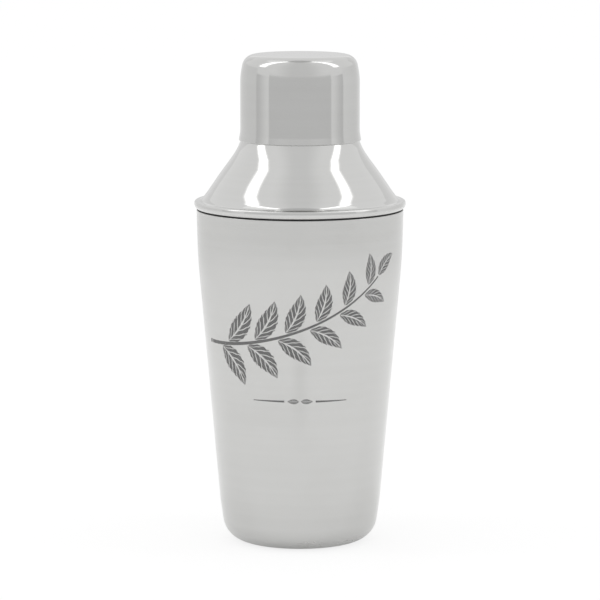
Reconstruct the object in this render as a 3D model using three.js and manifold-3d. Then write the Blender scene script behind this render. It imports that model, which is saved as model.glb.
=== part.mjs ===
import * as THREE from 'three';
import { mergeVertices, toCreasedNormals } from 'three/addons/utils/BufferGeometryUtils.js';
import Module from 'manifold-3d';

// A cocktail shaker of drawn steel sheet, in millimetres: a tumbler, a shoulder that plugs into its
// mouth and ends in a pierced strainer, a soft ring that seals the two, and a cap over the neck.

// Tumbler, measured on its outside.
const TUMBLER_HEIGHT = 119;
const TUMBLER_SHEET = 0.7;
const MOUTH_RADIUS = 36.75;
const MOUTH_DEPTH = 17;
const MOUTH_DRAFT = THREE.MathUtils.degToRad(1.4);
const MOUTH_BEND = 200;
const WALL_TAPER = THREE.MathUtils.degToRad(5.06);
const FOOT_EASE_HEIGHT = 14.2;
const FOOT_EASE_LEAN = THREE.MathUtils.degToRad(8.5);
const FOOT_EASE_ROUND = 40;
const FOOT_ROUND = 8.8;
const FLOOR_RISE = 1.2;
const FLOOR_PANEL_RADIUS = 13.3;
const FLOOR_PANEL_ROUND = 1.6;

// Shoulder with its bead, plug, neck and strainer. A bend of its slope lies a share of the way down
// from the neck, and sags below the straight line.
const SHOULDER_SHEET = 0.55;
const SHOULDER_HEIGHT = 24.9;
const SHOULDER_BENDS = [
  { share: 0.225, sag: 0.52 },
  { share: 0.528, sag: 0.354 },
  { share: 0.845, sag: 0.485 },
  { share: 0.949, sag: 0.36 },
];
const SHOULDER_FOOT_ROUND = 2.2;
const BEAD_OVERHANG = 0.75;
const BEAD_LEDGE = 1.95;
const BEAD_HEIGHT = 3.1;
const BEAD_TOP_ROUND = 0.75;
const BEAD_UNDER_ROUND = 2.15;
const PLUG_MARGIN = 3;
const PLUG_ROOT_ROUND = 0.4;
const PLUG_LEAD = 2.5;
const PLUG_LEAD_INSET = 1;
const PLUG_LEAD_ROUND = 4;
const NECK_ROUND = 16.8;
const STRAINER_RIM = 4.4;
const STRAINER_DISH = 1.2;
const STRAINER_ROUND = 1.2;
const STRAINER_EDGE_ROUND = 2.2;
const HOLE_RADIUS = 1.8;
const HOLE_MARGIN = 2.1;
const DRILL_OVERRUN = 0.5;
const HOLE_RINGS = 2;
const HOLES_PER_RING_STEP = 6;

// Soft ring: a sleeve inside the mouth with a thin flange that lies on the rim.
const SEAL_FLANGE = 0.2;
const SEAL_SETBACK = 0.15;
const SEAL_SLEEVE = 0.6;
const SEAL_SLEEVE_DEPTH = 8;
const SEAL_FOOT_ROUND = 0.3;
const SEAL_EDGE_ROUND = 0.08;

// Cap, measured on its outside.
const CAP_SHEET = 0.5;
const CAP_RADIUS = 21.15;
const CAP_HEIGHT = 30.35;
const CAP_EDGE_ROUND = 4.6;
const CAP_EASE_HEIGHT = 7.4;
const CAP_EASE_LEAN = THREE.MathUtils.degToRad(11);
const CAP_EASE_ROUND = 26;
const CAP_LIP_HEIGHT = 4;
const CAP_LIP_FLARE = 0.52;
const CAP_LIP_ROUND = 8;
const CAP_HEADROOM = 6.8;

// Fits between the pieces.
const SEAL_CLEARANCE = 0.3;
const CAP_CLEARANCE = 0.35;
const CAP_SEAT_CLEARANCE = 0.08;

// Fineness of the faceted shapes.
const SHEET_EDGE_SHARE = 0.3;
const TURN_STEPS = 44;
const HOLE_STEPS = 12;
const ARC_SAG = 0.07;
const FILLET_LIMIT = 0.98;
const SMALLEST_ROUND = 0.05;
const MERGE_DISTANCE = 1e-4;
const CREASE_ANGLE = THREE.MathUtils.degToRad(30);

const wasm = await Module();
wasm.setup();

// A corner of a half section: distance from the axis, height, and the radius it is rounded with.
function corner(radius, height, round = 0) {
  return { point: new THREE.Vector2(radius, height), round };
}

function heading(from, to) {
  return to.point.clone().sub(from.point).normalize();
}

function leftOf(direction) {
  return new THREE.Vector2(-direction.y, direction.x);
}

// The corner of a gentle bend in the line between two others, which sags to the right of it.
function bendBetween(from, to, { share, sag }) {
  const point = from.point.clone().lerp(to.point, share);
  point.addScaledVector(leftOf(heading(from, to)), -sag);
  return { point, round: 0 };
}

// The other face of a sheet: the outline moved to its left, with its last edge trimmed level.
function parallel(outline, distance) {
  const last = outline.length - 1;
  return outline.map((current, index) => {
    const before = heading(outline[Math.max(index - 1, 0)], outline[Math.max(index, 1)]);
    const after = heading(outline[Math.min(index, last - 1)], outline[Math.min(index + 1, last)]);
    const sideways = leftOf(before).add(leftOf(after));
    const mitre = sideways.multiplyScalar(distance / (1 + before.dot(after)));
    const moved = current.point.clone().add(mitre);
    if (index === last) {
      moved.addScaledVector(after, (current.point.y - moved.y) / after.y);
    }
    const turnsLeft = before.cross(after) > 0;
    const round = current.round + (turnsLeft ? -distance : distance);
    return corner(moved.x, moved.y, current.round > 0 ? Math.max(round, SMALLEST_ROUND) : 0);
  });
}

// The closed section of a sheet whose outline runs from the axis to a free edge; a positive
// thickness lies to the left of the outline.
function sheetSection(outline, thickness) {
  const edge = Math.abs(thickness) * SHEET_EDGE_SHARE;
  const front = [...outline.slice(0, -1), { ...outline.at(-1), round: 0 }];
  const back = parallel(front, thickness);
  front.at(-1).round = edge;
  back.at(-1).round = edge;
  return thickness > 0 ? [...front, ...back.reverse()] : [...back, ...front.reverse()];
}

function turnBetween(before, after) {
  return Math.acos(THREE.MathUtils.clamp(before.dot(after), -1, 1));
}

// Radii of the corners, made smaller where two of them would not fit on the edge they share.
function fittingRounds(corners) {
  const reach = corners.map((current, index) => {
    if (index === 0 || index === corners.length - 1) {
      return 0;
    }
    const turn = turnBetween(heading(corners[index - 1], current), heading(current, corners[index + 1]));
    return current.round * Math.tan(turn / 2);
  });
  const share = corners.map(() => 1);
  for (let index = 0; index < corners.length - 1; index += 1) {
    const room = FILLET_LIMIT * corners[index].point.distanceTo(corners[index + 1].point);
    const wanted = reach[index] + reach[index + 1];
    if (wanted > room) {
      share[index] = Math.min(share[index], room / wanted);
      share[index + 1] = Math.min(share[index + 1], room / wanted);
    }
  }
  return corners.map((current, index) => current.round * share[index]);
}

// The rounded corner as an arc, its steps set by how far a chord may sag.
function cornerArc(previous, current, next, round) {
  const before = heading(previous, current);
  const after = heading(current, next);
  const turn = turnBetween(before, after);
  if (round <= 0 || turn <= 0) {
    return [current.point];
  }
  const turnsLeft = before.cross(after) > 0;
  const tangent = current.point.clone().addScaledVector(before, -round * Math.tan(turn / 2));
  const centre = tangent.clone().addScaledVector(leftOf(before), turnsLeft ? round : -round);
  const start = Math.atan2(tangent.y - centre.y, tangent.x - centre.x);
  const end = turnsLeft ? start + turn : start - turn;
  const step = 2 * Math.acos(Math.max(1 - ARC_SAG / round, 0));
  const arc = new THREE.ArcCurve(centre.x, centre.y, round, start, end, !turnsLeft);
  return arc.getPoints(Math.ceil(turn / step));
}

function trace(corners) {
  const rounds = fittingRounds(corners);
  return corners.flatMap((current, index) => {
    if (index === 0 || index === corners.length - 1) {
      return [current.point];
    }
    return cornerArc(corners[index - 1], current, corners[index + 1], rounds[index]);
  });
}

function traceLoop(corners) {
  const first = corners[0].point.clone().add(corners.at(-1).point).multiplyScalar(1 / 2);
  const seam = corner(first.x, first.y);
  return trace([seam, ...corners, seam]);
}

function turned(points) {
  return new THREE.LatheGeometry(points, TURN_STEPS);
}

function heightAt(points, radius) {
  const index = points.findIndex((point, at) => at > 0 && point.x >= radius && points[at - 1].x < radius);
  const below = points[index];
  const above = points[index - 1];
  return THREE.MathUtils.mapLinear(radius, above.x, below.x, above.y, below.y);
}

function asSolid(geometry) {
  const bare = new THREE.BufferGeometry();
  bare.setAttribute('position', geometry.getAttribute('position'));
  bare.setIndex(geometry.getIndex());
  const merged = mergeVertices(bare, MERGE_DISTANCE);
  const triangles = [];
  const index = merged.getIndex().array;
  for (let at = 0; at < index.length; at += 3) {
    const [a, b, c] = index.slice(at, at + 3);
    if (a !== b && b !== c && c !== a) {
      triangles.push(a, b, c);
    }
  }
  return new wasm.Manifold(new wasm.Mesh({
    numProp: 3,
    vertProperties: new Float32Array(merged.getAttribute('position').array),
    triVerts: new Uint32Array(triangles),
  }));
}

function asGeometry(solid) {
  const mesh = solid.getMesh();
  const geometry = new THREE.BufferGeometry();
  geometry.setAttribute('position', new THREE.BufferAttribute(mesh.vertProperties, mesh.numProp));
  geometry.setIndex(new THREE.BufferAttribute(mesh.triVerts, 1));
  return geometry;
}

function piece(name, geometry, finish, height) {
  const shaded = toCreasedNormals(geometry, CREASE_ANGLE);
  const mesh = new THREE.Mesh(shaded, new THREE.MeshStandardMaterial(finish));
  mesh.name = name;
  mesh.position.y = height;
  return mesh;
}

// Radii of the drafted fit at a height above the tumbler's rim.
const mouthInside = MOUTH_RADIUS - TUMBLER_SHEET / Math.cos(MOUTH_DRAFT);

function sleeveOutside(height) {
  return mouthInside - SEAL_CLEARANCE + height * Math.tan(MOUTH_DRAFT);
}

function sleeveInside(height) {
  return sleeveOutside(height) - SEAL_SLEEVE;
}

function plugOutside(height) {
  return sleeveInside(height) - SEAL_CLEARANCE;
}

// Tumbler: outside from the raised panel under the floor to the rim.
function tumblerOutline() {
  const bendHeight = TUMBLER_HEIGHT - MOUTH_DEPTH;
  const bendRadius = MOUTH_RADIUS - MOUTH_DEPTH * Math.tan(MOUTH_DRAFT);
  const easeRadius = bendRadius - (bendHeight - FOOT_EASE_HEIGHT) * Math.tan(WALL_TAPER);
  const footRadius = easeRadius - FOOT_EASE_HEIGHT * Math.tan(FOOT_EASE_LEAN);
  return [
    corner(0, FLOOR_RISE),
    corner(FLOOR_PANEL_RADIUS, FLOOR_RISE, FLOOR_PANEL_ROUND),
    corner(FLOOR_PANEL_RADIUS + FLOOR_RISE, 0, FLOOR_PANEL_ROUND),
    corner(footRadius, 0, FOOT_ROUND),
    corner(easeRadius, FOOT_EASE_HEIGHT, FOOT_EASE_ROUND),
    corner(bendRadius, bendHeight, MOUTH_BEND),
    corner(MOUTH_RADIUS, TUMBLER_HEIGHT),
  ];
}

// Cap: outside from the middle of the crown to the flared lip, with the lip at height zero.
const capLipRadius = CAP_RADIUS + CAP_LIP_FLARE;
const capLipInside = capLipRadius - CAP_SHEET * Math.hypot(1, CAP_LIP_FLARE / CAP_LIP_HEIGHT);

function capOutline() {
  return [
    corner(0, CAP_HEIGHT),
    corner(CAP_RADIUS - CAP_EASE_HEIGHT * Math.tan(CAP_EASE_LEAN), CAP_HEIGHT, CAP_EDGE_ROUND),
    corner(CAP_RADIUS, CAP_HEIGHT - CAP_EASE_HEIGHT, CAP_EASE_ROUND),
    corner(CAP_RADIUS, CAP_LIP_HEIGHT, CAP_LIP_ROUND),
    corner(capLipRadius, 0),
  ];
}

// Shoulder, with the underside of the bead at height zero. Its slope eases out of the neck and, with
// gentle bends, into the ledge above the bead. The cap rests where the curve from neck to shoulder meets
// its lip, and the neck ends below the crown of the cap.
const beadRadius = MOUTH_RADIUS + BEAD_OVERHANG;
const neckRadius = CAP_RADIUS - CAP_SHEET - CAP_CLEARANCE;
const plugDepth = MOUTH_DEPTH - PLUG_MARGIN;
const neckFoot = corner(neckRadius, SHOULDER_HEIGHT, NECK_ROUND);
const shoulderFoot = corner(beadRadius - BEAD_LEDGE, BEAD_HEIGHT, SHOULDER_FOOT_ROUND);
const shoulderSlope = [
  neckFoot,
  ...SHOULDER_BENDS.map((bend) => bendBetween(neckFoot, shoulderFoot, bend)),
  shoulderFoot,
];
const neckAbove = corner(neckRadius, SHOULDER_HEIGHT + CAP_HEIGHT);
const capSeat = heightAt(trace([neckAbove, ...shoulderSlope]), capLipInside - CAP_SEAT_CLEARANCE);
const neckTop = capSeat + CAP_HEIGHT - CAP_SHEET - CAP_HEADROOM;
const strainerRadius = neckRadius - STRAINER_RIM;

function shoulderOutline() {
  const plugRoot = plugOutside(SEAL_FLANGE);
  const plugLead = plugOutside(SEAL_FLANGE + PLUG_LEAD - plugDepth);
  return [
    corner(0, neckTop - STRAINER_DISH),
    corner(strainerRadius - STRAINER_DISH, neckTop - STRAINER_DISH, STRAINER_ROUND),
    corner(strainerRadius, neckTop, STRAINER_ROUND),
    corner(neckRadius, neckTop, STRAINER_EDGE_ROUND),
    ...shoulderSlope,
    corner(beadRadius, BEAD_HEIGHT, BEAD_TOP_ROUND),
    corner(beadRadius, 0, BEAD_UNDER_ROUND),
    corner(plugRoot, 0, PLUG_ROOT_ROUND),
    corner(plugLead, PLUG_LEAD - plugDepth, PLUG_LEAD_ROUND),
    corner(plugLead - PLUG_LEAD_INSET, -plugDepth),
  ];
}

// Drill for the strainer: a hole on the axis and rings of holes around it, spread over the dished floor.
function strainerHoles() {
  const length = SHOULDER_SHEET + 2 * DRILL_OVERRUN;
  const drill = new THREE.CylinderGeometry(HOLE_RADIUS, HOLE_RADIUS, length, HOLE_STEPS);
  drill.translate(0, neckTop - STRAINER_DISH - SHOULDER_SHEET / 2, 0);
  const room = strainerRadius - STRAINER_DISH - HOLE_RADIUS - HOLE_MARGIN;
  const pitch = room / HOLE_RINGS;
  const holes = [asSolid(drill)];
  for (let ring = 1; ring <= HOLE_RINGS; ring += 1) {
    const count = ring * HOLES_PER_RING_STEP;
    for (let at = 0; at < count; at += 1) {
      const angle = (at / count) * 2 * Math.PI;
      const distance = ring * pitch;
      const hole = drill.clone();
      hole.translate(distance * Math.cos(angle), 0, distance * Math.sin(angle));
      holes.push(asSolid(hole));
    }
  }
  return wasm.Manifold.union(holes);
}

function shoulderGeometry() {
  const shell = asSolid(turned(trace(sheetSection(shoulderOutline(), -SHOULDER_SHEET))));
  return asGeometry(shell.subtract(strainerHoles()));
}

// Soft ring, with the top of its flange at height zero.
function sealGeometry() {
  const foot = SEAL_FLANGE - SEAL_SLEEVE_DEPTH;
  const flangeRadius = MOUTH_RADIUS - SEAL_SETBACK;
  return turned(traceLoop([
    corner(sleeveInside(foot), -SEAL_SLEEVE_DEPTH),
    corner(sleeveOutside(foot), -SEAL_SLEEVE_DEPTH, SEAL_FOOT_ROUND),
    corner(sleeveOutside(0), -SEAL_FLANGE),
    corner(flangeRadius, -SEAL_FLANGE, SEAL_EDGE_ROUND),
    corner(flangeRadius, 0, SEAL_EDGE_ROUND),
    corner(sleeveInside(SEAL_FLANGE), 0, PLUG_ROOT_ROUND),
  ]));
}

const satinSteel = { color: 0xc5c5c3, metalness: 1, roughness: 0.34 };
const polishedSteel = { color: 0xcccccb, metalness: 1, roughness: 0.1 };
const capSteel = { color: 0xbdbdbc, metalness: 1, roughness: 0.16 };
const blackSilicone = { color: 0x232323, metalness: 0, roughness: 0.6 };

const beadHeight = TUMBLER_HEIGHT + SEAL_FLANGE;
const tumblerShell = turned(trace(sheetSection(tumblerOutline(), TUMBLER_SHEET)));
const capShell = turned(trace(sheetSection(capOutline(), -CAP_SHEET)));

const upright = new THREE.Group();
upright.rotation.x = Math.PI / 2;
upright.add(
  piece('tumbler', tumblerShell, satinSteel, 0),
  piece('strainer_top', shoulderGeometry(), polishedSteel, beadHeight),
  piece('mouth_seal', sealGeometry(), blackSilicone, beadHeight),
  piece('cap', capShell, capSteel, beadHeight + capSeat),
);

const shaker = new THREE.Group();
shaker.name = 'cocktail_shaker';
shaker.add(upright);

export default shaker;
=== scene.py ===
"""Looks of a three-piece cocktail shaker of drawn steel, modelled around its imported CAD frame.

Lengths are in metres, in the CAD model's own frame: +Z up along the axis that every piece is turned about,
the foot at height zero, and the side that the camera sees towards -Y.
"""

import logging
import math
from abc import ABC, abstractmethod
from collections.abc import Sequence
from dataclasses import dataclass, field, replace
from enum import Enum
from typing import Any, ClassVar

import bmesh
import bpy
from mathutils import Matrix, Vector
from mathutils.bvhtree import BVHTree


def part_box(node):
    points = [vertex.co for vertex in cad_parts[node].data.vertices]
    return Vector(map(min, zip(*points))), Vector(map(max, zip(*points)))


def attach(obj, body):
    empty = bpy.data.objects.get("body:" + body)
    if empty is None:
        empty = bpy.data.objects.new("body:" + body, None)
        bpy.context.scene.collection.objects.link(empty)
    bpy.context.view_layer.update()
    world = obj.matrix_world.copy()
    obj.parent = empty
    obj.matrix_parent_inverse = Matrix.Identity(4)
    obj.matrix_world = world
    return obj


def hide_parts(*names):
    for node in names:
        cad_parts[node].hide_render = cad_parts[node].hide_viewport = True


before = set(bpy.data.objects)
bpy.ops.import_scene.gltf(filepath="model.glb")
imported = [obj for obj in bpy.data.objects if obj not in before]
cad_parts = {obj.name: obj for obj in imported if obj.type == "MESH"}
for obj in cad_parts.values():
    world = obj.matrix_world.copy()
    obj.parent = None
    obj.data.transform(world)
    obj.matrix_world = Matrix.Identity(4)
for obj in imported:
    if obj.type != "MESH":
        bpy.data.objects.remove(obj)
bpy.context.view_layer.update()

log = logging.getLogger("shaker")

Pair = tuple[float, float]
Colour = tuple[float, float, float, float]
Socket = bpy.types.NodeSocket

MM = 0.001
ORIGIN = (0.0, 0.0, 0.0)
UP = (0.0, 0.0, 1.0)
LEFT = (-1.0, 0.0, 0.0)
FORWARD = (0.0, -1.0, 0.0)
RISE: Pair = (0.0, 1.0)
FALL: Pair = (1.0, 0.0)
WHITE: Colour = (1.0, 1.0, 1.0, 1.0)

# Fineness of the turned meshes.
TURN_STEPS = 192
ARC_STEP = math.radians(4)
FEWEST_ARC_STEPS = 5
GUARD_STEP = 0.15 * MM
GUARD_LIMIT = 1 / 4
LONGEST_STEP = 8 * MM
FILLET_LIMIT = 0.98
SMALLEST_ROUND = 0.05 * MM
SHEET_EDGE_SHARE = 0.3
MERGE_DISTANCE = 1e-7
SHARP_ANGLE = math.radians(32)


def top_of(node: str) -> float:
    """Height of the highest point of a CAD node."""
    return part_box(node)[1].z


def bottom_of(node: str) -> float:
    """Height of the lowest point of a CAD node."""
    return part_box(node)[0].z


def left_of(direction: Vector) -> Vector:
    """The direction turned a quarter to its left."""
    return Vector((-direction.y, direction.x))


def between(ends: Pair, share: float) -> float:
    """The value that lies a share of the way from the first end to the second."""
    return ends[0] + (ends[1] - ends[0]) * share


class SheetFace(Enum):
    """The two faces of a drawn sheet, with the value that its vertices carry."""

    OUTSIDE = 0.0
    INSIDE = 1.0


@dataclass(frozen=True)
class Corner:
    """A corner of a half section.

    Attributes:
        radius: Distance from the axis.
        height: Height above the piece's own zero.
        round: Radius that the corner is rounded with.
        wear: How much the rounded corner is rubbed in use, from 0 to 1.
        face: Face of the sheet that the corner lies on.
    """

    radius: float
    height: float
    round: float = 0.0
    wear: float = 0.0
    face: SheetFace = SheetFace.OUTSIDE

    @property
    def point(self) -> Vector:
        """The corner as a point of the half section."""
        return Vector((self.radius, self.height))

    def bent(self, other: "Corner", bend: "Bend") -> "Corner":
        """The corner of a bend in the line to another corner.

        Args:
            other: Corner at the end of the line.
            bend: The bend.

        Returns:
            The new corner.
        """
        run = other.point - self.point
        place = self.point + run * bend.share - left_of(run.normalized()) * bend.sag
        return Corner(place.x, place.y, bend.round)


@dataclass(frozen=True)
class Bend:
    """A gentle bend in an edge that would else be straight.

    Attributes:
        share: How far along the edge it lies, from 0 to 1.
        sag: How far it lies to the right of the straight edge.
        round: Radius that it is rounded with.
    """

    share: float
    sag: float
    round: float


class SectionPen:
    """Draws a half section as a chain of edges and turns it about the axis."""

    def __init__(self, start: Corner, lift: float) -> None:
        """Sets the pen down.

        Args:
            start: Corner that the outline starts at.
            lift: Height of the piece's own zero in the frame.
        """
        self.mesh = bmesh.new()
        self.inside = self.mesh.verts.layers.float.new("inside")
        self.edge = self.mesh.verts.layers.float.new("edge")
        self.lift = lift
        self.face = start.face
        made = bmesh.ops.create_vert(self.mesh, co=self._place(start.point))
        self.tip = made["vert"][0]
        self._mark(self.tip, 0.0)

    def _place(self, point: Vector) -> Vector:
        """A point of the half section in the frame."""
        return Vector((point.x, 0.0, point.y + self.lift))

    def _mark(self, vertex: bmesh.types.BMVert, wear: float) -> None:
        """Writes the face and the wear on a vertex."""
        vertex[self.inside] = self.face.value
        vertex[self.edge] = wear

    def line_to(self, end: Vector) -> None:
        """Draws a straight edge, with a guard step at both ends that keeps its shading straight.

        Args:
            end: Point of the half section to draw to.
        """
        start = Vector((self.tip.co.x, self.tip.co.z - self.lift))
        length = (end - start).length
        if length < MERGE_DISTANCE:
            return
        guard = min(GUARD_STEP / length, GUARD_LIMIT)
        steps = math.ceil(length / LONGEST_STEP)
        stops = [guard + (1 - 2 * guard) * step / steps for step in range(steps + 1)]
        for share in [*stops, 1.0]:
            made = bmesh.ops.extrude_vert_indiv(self.mesh, verts=[self.tip])
            self.tip = made["verts"][0]
            self.tip.co = self._place(start.lerp(end, share))
            self._mark(self.tip, 0.0)

    def arc(self, centre: Vector, turn: float, wear: float) -> None:
        """Draws an arc from the tip.

        Args:
            centre: Centre of the arc in the half section.
            turn: Angle of the arc, positive to the left.
            wear: Wear at the middle of the arc.
        """
        steps = max(math.ceil(abs(turn) / ARC_STEP), FEWEST_ARC_STEPS)
        known = len(self.mesh.verts)
        made = bmesh.ops.spin(
            self.mesh, geom=[self.tip], cent=self._place(centre), axis=FORWARD, angle=turn, steps=steps
        )
        self.mesh.verts.ensure_lookup_table()
        for step, vertex in enumerate(self.mesh.verts[known:], start=1):
            self._mark(vertex, wear * math.sin(math.pi * step / steps))
        self.tip = next(item for item in made["geom_last"] if isinstance(item, bmesh.types.BMVert))

    def turned(self, steps: int = TURN_STEPS) -> bmesh.types.BMesh:
        """Turns the drawn section about the axis.

        Args:
            steps: Steps of the full turn.

        Returns:
            The closed mesh, its faces pointing out.
        """
        bmesh.ops.spin(
            self.mesh,
            geom=[*self.mesh.verts, *self.mesh.edges],
            cent=ORIGIN,
            axis=UP,
            angle=math.tau,
            steps=steps,
            use_merge=True,
        )
        bmesh.ops.remove_doubles(self.mesh, verts=self.mesh.verts[:], dist=MERGE_DISTANCE)
        bmesh.ops.recalc_face_normals(self.mesh, faces=self.mesh.faces[:])
        return self.mesh


class HalfSection:
    """The outline of a turned piece as a row of rounded corners."""

    def __init__(self, corners: Sequence[Corner]) -> None:
        """Keeps the corners in their order."""
        self.corners = list(corners)

    def heading(self, index: int) -> Vector:
        """Direction of the edge that starts at a corner; past an end, that of the end's own edge."""
        start = min(max(index, 0), len(self.corners) - 2)
        return (self.corners[start + 1].point - self.corners[start].point).normalized()

    def turn_at(self, index: int) -> float:
        """Angle that the outline turns by at a corner.

        Args:
            index: Place of the corner in the row.

        Returns:
            The angle, positive to the left.
        """
        before = self.heading(index - 1)
        after = self.heading(index)
        return math.atan2(before.cross(after), before.dot(after))

    def beside(self, distance: float) -> "HalfSection":
        """The other face of a sheet.

        Args:
            distance: How far the outline moves to its left.

        Returns:
            The moved outline, its last edge trimmed level with this one.
        """
        moved = []
        for index, corner in enumerate(self.corners):
            before = self.heading(index - 1)
            after = self.heading(index)
            mitre = (left_of(before) + left_of(after)) * (distance / (1 + before.dot(after)))
            point = corner.point + mitre
            if index == len(self.corners) - 1:
                point += after * ((corner.height - point.y) / after.y)
            change = -distance if self.turn_at(index) > 0 else distance
            rounded = max(corner.round + change, SMALLEST_ROUND) if corner.round else 0.0
            moved.append(Corner(point.x, point.y, rounded, 0.0, SheetFace.INSIDE))
        return HalfSection(moved)

    def sheet(self, thickness: float, rim_wear: float) -> "HalfSection":
        """The closed section of a sheet whose outline runs from the axis to a free edge.

        Args:
            thickness: Thickness of the sheet, positive to the left of the outline.
            rim_wear: Wear of the free edge.

        Returns:
            The outline, the rounded free edge and the other face back to the axis.
        """
        edge = abs(thickness) * SHEET_EDGE_SHARE
        other = self.beside(thickness).corners
        front = [*self.corners[:-1], replace(self.corners[-1], round=edge, wear=rim_wear)]
        back = [*other[:-1], replace(other[-1], round=edge, wear=rim_wear)]
        return HalfSection([*front, *reversed(back)])

    def fitting_rounds(self) -> list[float]:
        """Fits the corners' radii to the edges between them.

        Returns:
            The radii, made smaller where two of them would not fit on the edge they share.
        """
        inner = range(1, len(self.corners) - 1)
        reach = [0.0] * len(self.corners)
        for index in inner:
            reach[index] = self.corners[index].round * math.tan(abs(self.turn_at(index)) / 2)
        share = [1.0] * len(self.corners)
        for index, (corner, following) in enumerate(zip(self.corners, self.corners[1:])):
            room = FILLET_LIMIT * (following.point - corner.point).length
            wanted = reach[index] + reach[index + 1]
            if wanted > room:
                share[index] = min(share[index], room / wanted)
                share[index + 1] = min(share[index + 1], room / wanted)
        return [corner.round * part for corner, part in zip(self.corners, share)]

    def drawn(self, lift: float = 0.0) -> SectionPen:
        """Draws the outline.

        Args:
            lift: Height of the piece's own zero in the frame.

        Returns:
            The pen, with the outline drawn.
        """
        pen = SectionPen(self.corners[0], lift)
        rounds = self.fitting_rounds()
        for index in range(1, len(self.corners) - 1):
            corner = self.corners[index]
            turn = self.turn_at(index)
            pen.face = corner.face
            if rounds[index] == 0 or turn == 0:
                pen.line_to(corner.point)
                continue
            before = self.heading(index - 1)
            tangent = corner.point - before * (rounds[index] * math.tan(abs(turn) / 2))
            pen.line_to(tangent)
            pen.arc(tangent + left_of(before) * math.copysign(rounds[index], turn), turn, corner.wear)
        pen.line_to(self.corners[-1].point)
        return pen

    def looped(self) -> "HalfSection":
        """Closes the outline to a ring's section.

        Returns:
            The closed outline, with its seam halfway along the closing edge.
        """
        seam = (self.corners[0].point + self.corners[-1].point) / 2
        start = Corner(seam.x, seam.y)
        return HalfSection([start, *self.corners, start])


class Graph:
    """Short ways to add and link the nodes of one node tree."""

    def __init__(self, tree: bpy.types.NodeTree) -> None:
        """Keeps the tree that the nodes go into."""
        self.tree = tree

    @classmethod
    def of_material(cls, name: str) -> tuple["Graph", bpy.types.Material]:
        """Starts a material.

        Args:
            name: Name of the material.

        Returns:
            The graph of its empty node tree, and the material.
        """
        material = bpy.data.materials.new(name)
        material.use_nodes = True
        material.node_tree.nodes.clear()
        return cls(material.node_tree), material

    def add(self, kind: str, inputs: dict[str | int, Any] | None = None, **settings: Any) -> bpy.types.Node:
        """Adds a node.

        Args:
            kind: Type name of the node.
            inputs: Values of its sockets; a socket of another node is linked.
            settings: Properties of the node.

        Returns:
            The node.
        """
        node = self.tree.nodes.new(kind)
        for name, value in settings.items():
            setattr(node, name, value)
        for key, value in (inputs or {}).items():
            if isinstance(value, Socket):
                self.tree.links.new(value, node.inputs[key])
            else:
                node.inputs[key].default_value = value
        return node

    def math(self, operation: str, *values: Any) -> Socket:
        """Adds a Math node and returns its result."""
        return self.add("ShaderNodeMath", dict(enumerate(values)), operation=operation).outputs[0]

    def parts(self, vector: Socket) -> tuple[Socket, ...]:
        """Splits a vector and returns its three parts."""
        return tuple(self.add("ShaderNodeSeparateXYZ", {0: vector}).outputs)

    def length(self, vector: Socket) -> Socket:
        """Measures a vector and returns its length."""
        return self.add("ShaderNodeVectorMath", {0: vector}, operation="LENGTH").outputs["Value"]

    def noise(self, vector: Socket, scale: float, detail: float) -> Socket:
        """Adds a noise texture and returns its value."""
        node = self.add("ShaderNodeTexNoise", {"Vector": vector, "Scale": scale, "Detail": detail})
        return node.outputs[0]

    def ramp(self, value: Socket, source: Pair, target: Pair = RISE) -> Socket:
        """Maps a value smoothly from one range to another.

        Args:
            value: Value to map.
            source: Low and high end of the range that it comes from.
            target: Low and high end of the range that it goes to.

        Returns:
            The mapped value, clamped to the target range.
        """
        inputs = {"Value": value, 1: source[0], 2: source[1], 3: target[0], 4: target[1]}
        node = self.add("ShaderNodeMapRange", inputs, interpolation_type="SMOOTHSTEP")
        return node.outputs["Result"]

    def blend(self, factor: Socket, first: Any, second: Any) -> Socket:
        """Mixes two colours by a varying factor and returns the mixed colour."""
        node = self.add("ShaderNodeMix", {0: factor, 6: first, 7: second}, data_type="RGBA")
        return node.outputs[2]

    def bump(self, inputs: dict[str | int, Any], invert: bool = False) -> Socket:
        """Adds a Bump node and returns its normal."""
        return self.add("ShaderNodeBump", inputs, invert=invert).outputs[0]

    def attribute(self, name: str) -> Socket:
        """Reads a value that the mesh carries."""
        return self.add("ShaderNodeAttribute", attribute_name=name).outputs["Fac"]

    def surface(self, shader: Socket) -> None:
        """Ends a material with a shader."""
        self.add("ShaderNodeOutputMaterial", {"Surface": shader})

    def principled(self, inputs: dict[str | int, Any]) -> None:
        """Ends a material with a Principled shader."""
        self.surface(self.add("ShaderNodeBsdfPrincipled", inputs).outputs[0])


class Effect(Enum):
    """Surface effects that several finishes share, each with the name of its node group."""

    TURNED_GRAIN = "turned_grain"
    HANDLING = "handling"
    RIM_WEAR = "rim_wear"


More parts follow.
